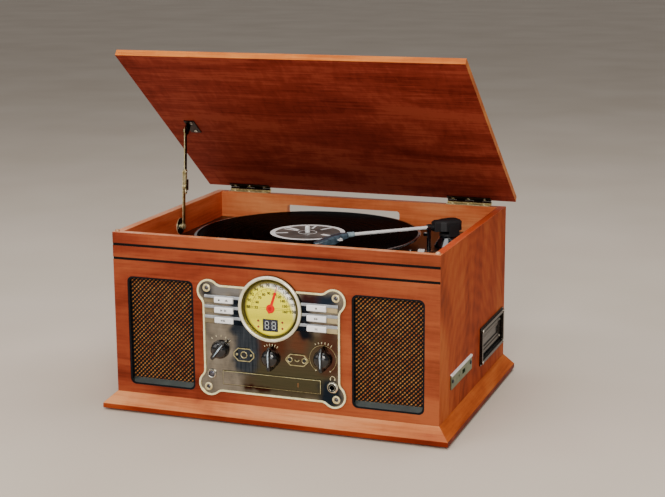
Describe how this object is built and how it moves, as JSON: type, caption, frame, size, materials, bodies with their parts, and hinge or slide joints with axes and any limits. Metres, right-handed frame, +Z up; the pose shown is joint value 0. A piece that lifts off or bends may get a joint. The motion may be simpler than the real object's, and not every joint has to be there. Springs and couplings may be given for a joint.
{
  "type": "record player",
  "caption": "Retro wooden table-top record player with propped lid, belt-driven turntable and tonearm, radio dial, press buttons, disc tray, cassette slot and speaker grilles.",
  "frame": {"origin": "middle of the footprint, on the table", "axes": "+Z up, the control plate faces -Y, +X to the right"},
  "size_m": [0.462, 0.3444, 0.458],
  "materials": {
    "veneered_wood": "satin",
    "fibreboard": "matte",
    "black_rubber": "matte",
    "black_inlay": "matte",
    "antique_brass": "satin",
    "black_plastic": "gloss",
    "bearing_brass": "satin",
    "motor_steel": "satin",
    "mirror_nickel": "polished",
    "cream_gold": "polished",
    "bright_chrome": "polished",
    "champagne_chrome": "polished",
    "clear_glass": "clear",
    "dial_paper": "matte",
    "grille_plastic": "matte",
    "grille_cloth": "woven",
    "bronze_metal": "satin",
    "satin_aluminium": "satin",
    "circuit_board": "satin",
    "vinyl": "gloss",
    "slate_plastic": "satin",
    "red_plastic": "satin",
    "silver_plastic": "satin"
  },
  "bodies": {
    "cabinet": {"base_moulding": "veneered_wood", "bottom_panel": "fibreboard", "front_panel": "veneered_wood", "left_side_panel": "veneered_wood", "right_side_panel": "veneered_wood", "back_panel": "veneered_wood", "rubber_feet": "black_rubber", "front_stripes": "black_inlay", "hinge_fixed_leaves": "antique_brass", "stay_wall_bracket": "antique_brass", "deck_plate": "black_plastic", "platter_bearing": "bearing_brass", "drive_motor": "motor_steel", "drive_belt": "black_rubber", "tonearm_base": "black_plastic", "face_plate": "mirror_nickel", "face_plate_trim": "cream_gold", "chrome_bars": "bright_chrome", "dial_bezel": "champagne_chrome", "dial_lens": "clear_glass", "dial_card": "dial_paper", "indicator_plates": "champagne_chrome", "headphone_jack": "bright_chrome", "grille_frames": "grille_plastic", "grille_cloths": "grille_cloth", "speakers": "motor_steel", "cd_mechanism": "grille_plastic", "cassette_bezel": "bronze_metal", "cassette_mechanism": "grille_plastic", "socket_plates": "satin_aluminium", "main_board": "circuit_board", "power_transformer": "motor_steel", "panel_screws": "bright_chrome"},
    "lid": {"lid_panel": "veneered_wood", "hinge_lid_leaves": "antique_brass", "stay_lid_bracket": "antique_brass", "lid_screws": "bright_chrome"},
    "stay_upper": {"stay_upper_arm": "antique_brass"},
    "stay_lower": {"stay_lower_arm": "antique_brass"},
    "turntable": {"platter": "black_plastic", "spindle": "bright_chrome", "record": "vinyl"},
    "pulley": {"motor_pulley": "bearing_brass"},
    "gimbal": {"arm_gimbal": "black_plastic"},
    "tonearm": {"arm_tube": "black_plastic", "head_shell": "slate_plastic"},
    "cue": {"cue_lever": "black_plastic"},
    "selector": {"selector_knob": "black_plastic"},
    "tuner": {"tuning_knob": "black_plastic"},
    "volume": {"volume_knob": "black_plastic"},
    "pointer": {"tuning_pointer": "red_plastic"},
    "button_lt": {"left_button_top": "silver_plastic"},
    "button_lm": {"left_button_middle": "silver_plastic"},
    "button_lb": {"left_button_bottom": "silver_plastic"},
    "button_rt": {"right_button_top": "silver_plastic"},
    "button_rm": {"right_button_middle": "silver_plastic"},
    "button_rb": {"right_button_bottom": "silver_plastic"},
    "tray": {"cd_tray": "mirror_nickel"},
    "flap": {"cassette_flap": "black_plastic"},
    "speed": {"speed_lever": "bright_chrome"}
  },
  "joints": [
    {"name": "lid_hinge", "type": "hinge", "parent": "cabinet", "child": "lid", "pos_m": [0, 0.1684, 0.23595], "axis": [1, 0, 0], "range_deg": [0, 37.9]},
    {"name": "stay_upper_fold", "type": "hinge", "parent": "lid", "child": "stay_upper", "pos_m": [-0.1982, 0.02613, 0.33933], "axis": [1, 0, 0], "range_deg": [0, 50.81]},
    {"name": "stay_lower_fold", "type": "hinge", "parent": "cabinet", "child": "stay_lower", "pos_m": [-0.2002, 0.0163, 0.208], "axis": [1, 0, 0], "range_deg": [-72.32, 0]},
    {"name": "platter_spin", "type": "hinge", "parent": "cabinet", "child": "turntable", "pos_m": [-0.0159, 0.0119, 0.196], "axis": [0, 0, 1], "continuous": true},
    {"name": "pulley_spin", "type": "hinge", "parent": "cabinet", "child": "pulley", "pos_m": [-0.08717, -0.038, 0.196], "axis": [0, 0, 1], "continuous": true},
    {"name": "tonearm_swing", "type": "hinge", "parent": "cabinet", "child": "gimbal", "pos_m": [0.166, 0.06, 0.196], "axis": [0, 0, 1], "range_deg": [-10, 22.5]},
    {"name": "tonearm_lift", "type": "hinge", "parent": "gimbal", "child": "tonearm", "pos_m": [0.166, 0.06, 0.2238], "axis": [-0.6756, 0.7373, 0], "range_deg": [0, 3]},
    {"name": "cue_turn", "type": "hinge", "parent": "cabinet", "child": "cue", "pos_m": [0.185, 0.022, 0.204], "axis": [1, 0, 0], "range_deg": [0, 40]},
    {"name": "selector_turn", "type": "hinge", "parent": "cabinet", "child": "selector", "pos_m": [-0.0685, -0.1572, 0.093], "axis": [0, 1, 0], "range_deg": [-70, 70]},
    {"name": "tuning_turn", "type": "hinge", "parent": "cabinet", "child": "tuner", "pos_m": [0, -0.1572, 0.088], "axis": [0, 1, 0], "range_deg": [-240, 160]},
    {"name": "pointer_turn", "type": "hinge", "parent": "cabinet", "child": "pointer", "pos_m": [0, -0.1572, 0.151], "axis": [0, 1, 0], "range_deg": [-100, 66]},
    {"name": "volume_turn", "type": "hinge", "parent": "cabinet", "child": "volume", "pos_m": [0.0685, -0.1572, 0.093], "axis": [0, 1, 0], "range_deg": [-140, 140]},
    {"name": "press_left_top", "type": "slide", "parent": "cabinet", "child": "button_lt", "axis": [0, 1, 0], "range_m": [0, 0.0012], "stiffness_N_per_m": 400, "springref_m": -0.0002},
    {"name": "press_left_middle", "type": "slide", "parent": "cabinet", "child": "button_lm", "axis": [0, 1, 0], "range_m": [0, 0.0012], "stiffness_N_per_m": 400, "springref_m": -0.0002},
    {"name": "press_left_bottom", "type": "slide", "parent": "cabinet", "child": "button_lb", "axis": [0, 1, 0], "range_m": [0, 0.0012], "stiffness_N_per_m": 400, "springref_m": -0.0002},
    {"name": "press_right_top", "type": "slide", "parent": "cabinet", "child": "button_rt", "axis": [0, 1, 0], "range_m": [0, 0.0012], "stiffness_N_per_m": 400, "springref_m": -0.0002},
    {"name": "press_right_middle", "type": "slide", "parent": "cabinet", "child": "button_rm", "axis": [0, 1, 0], "range_m": [0, 0.0012], "stiffness_N_per_m": 400, "springref_m": -0.0002},
    {"name": "press_right_bottom", "type": "slide", "parent": "cabinet", "child": "button_rb", "axis": [0, 1, 0], "range_m": [0, 0.0012], "stiffness_N_per_m": 400, "springref_m": -0.0002},
    {"name": "tray_slide", "type": "slide", "parent": "cabinet", "child": "tray", "axis": [0, -1, 0], "range_m": [0, 0.13]},
    {"name": "flap_swing", "type": "hinge", "parent": "cabinet", "child": "flap", "pos_m": [0.213, 0.0938, 0.0841], "axis": [0, 1, 0], "range_deg": [0, 65], "stiffness_Nm_per_rad": 0.01, "springref_deg": -5.73},
    {"name": "speed_turn", "type": "hinge", "parent": "cabinet", "child": "speed", "pos_m": [0.141, -0.004, 0.196], "axis": [0, 0, 1], "range_deg": [-20, 20]}
  ],
  "couplings": [
    {"joint": "stay_upper_fold", "follows": "lid_hinge", "ratio": 1.3247},
    {"joint": "stay_lower_fold", "follows": "lid_hinge", "ratio": -1.8923},
    {"joint": "pulley_spin", "follows": "platter_spin", "ratio": 15.8},
    {"joint": "cue_turn", "follows": "tonearm_lift", "ratio": 13.333},
    {"joint": "pointer_turn", "follows": "tuning_turn", "ratio": 0.4}
  ]
}
